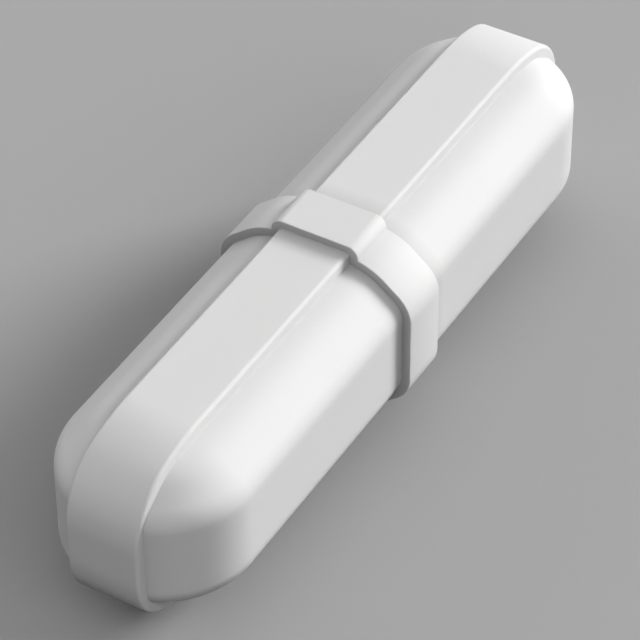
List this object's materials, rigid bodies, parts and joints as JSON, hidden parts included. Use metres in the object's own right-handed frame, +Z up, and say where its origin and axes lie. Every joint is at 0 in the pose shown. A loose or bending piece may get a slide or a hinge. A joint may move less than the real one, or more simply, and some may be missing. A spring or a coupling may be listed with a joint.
{
  "type": "magnetic stir bar",
  "caption": "Octagonal laboratory stir bar: a rod magnet sealed in a smooth white jacket with rounded ends, a raised lengthwise band and a raised middle ring that it spins on.",
  "frame": {"origin": "middle of the pivot ring's lower pad, on the surface that the bar stands on", "axes": "+X along the bar, +Y across it, +Z up out of the upper pad"},
  "size_m": [0.04, 0.0104, 0.0103],
  "materials": {
    "ptfe": "smooth moulded PTFE, white, satin",
    "alnico": "ground cast magnet alloy, bare"
  },
  "bodies": {
    "root": {"jacket": "ptfe", "magnet": "alnico"}
  },
  "joints": []
}
